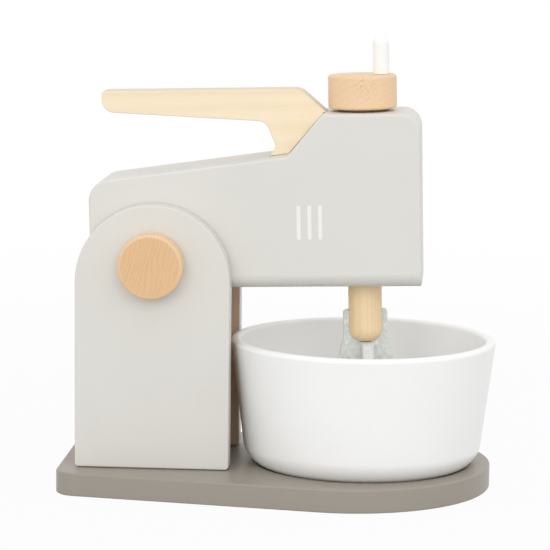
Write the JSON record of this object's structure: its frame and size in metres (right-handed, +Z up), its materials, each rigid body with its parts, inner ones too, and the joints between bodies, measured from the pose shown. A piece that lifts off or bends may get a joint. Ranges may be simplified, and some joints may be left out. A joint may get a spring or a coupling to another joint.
{
  "type": "toy stand mixer",
  "caption": "Wooden toy stand mixer with a tilting head, a hand-turned crank disc that drives a felt beater, and a lift-out bowl.",
  "frame": {"origin": "centre of the object's bounding box, on the plane that the base plate stands on", "axes": "+X towards the bowl end, along the base plate; +Y across, towards the rear cheek; +Z up"},
  "size_m": [0.2313, 0.1524, 0.2415],
  "materials": {
    "taupe_paint": "satin taupe paint",
    "grey_paint": "satin pale grey paint",
    "white_paint": "satin white paint",
    "beech": "clear matt lacquer on beech",
    "pale_wood": "clear matt lacquer on pale wood",
    "bare_wood": "planed and unfinished",
    "grey_felt": "thick pressed felt",
    "white_felt": "thick pressed felt",
    "screw_steel": "plain zinc plated"
  },
  "bodies": {
    "stand": {"base_plate": "taupe_paint", "front_cheek": "grey_paint", "rear_cheek": "grey_paint", "spacer_block": "bare_wood", "spacer_dowel_1": "bare_wood", "spacer_dowel_2": "bare_wood", "base_screw_1": "screw_steel", "base_screw_2": "screw_steel", "base_screw_3": "screw_steel", "base_screw_4": "screw_steel", "base_screw_5": "screw_steel", "base_screw_6": "screw_steel"},
    "bowl": {"bowl": "white_paint"},
    "head": {"head_block": "grey_paint", "handle": "pale_wood", "handle_dowel_1": "bare_wood", "handle_dowel_2": "bare_wood", "tilt_axle": "beech", "front_tilt_knob": "beech", "rear_tilt_knob": "beech"},
    "crank": {"crank_disc": "beech", "crank_washer": "screw_steel", "crank_peg": "white_paint", "spindle": "beech", "wide_blade": "grey_felt", "front_cross_blade": "white_felt", "rear_cross_blade": "white_felt"}
  },
  "joints": [
    {"name": "head_tilt", "type": "hinge", "parent": "stand", "child": "head", "pos_m": [-0.06538, 0, 0.122], "axis": [0, -1, 0], "range_deg": [0, 72]},
    {"name": "crank_spin", "type": "hinge", "parent": "head", "child": "crank", "pos_m": [0.04454, 0, 0.12497], "axis": [-0.027, 0, 0.9996], "continuous": true},
    {"name": "bowl_lift", "type": "slide", "parent": "stand", "child": "bowl", "axis": [0, 0, 1], "range_m": [0, 0.005]}
  ]
}
